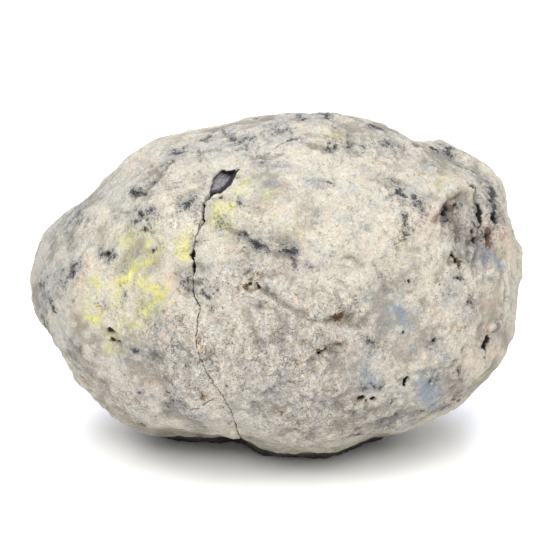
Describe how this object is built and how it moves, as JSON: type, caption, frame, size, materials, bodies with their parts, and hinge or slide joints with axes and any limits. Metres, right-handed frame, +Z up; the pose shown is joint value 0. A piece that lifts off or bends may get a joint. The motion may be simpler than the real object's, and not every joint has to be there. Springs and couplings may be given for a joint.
{
  "type": "calcite geode",
  "caption": "Whole uncut geode: a closed, pale, crumbly stone with a long crack, pits and ledges, resting on a small flat spot.",
  "frame": {"origin": "on the ground under the middle of the stone's box", "axes": "+X along the stone's long way, its front with the great crack faces -Y, +Z up"},
  "size_m": [0.0902, 0.0654, 0.0637],
  "materials": {
    "stone": "matte"
  },
  "bodies": {
    "root": {"geode": "stone"}
  },
  "joints": []
}
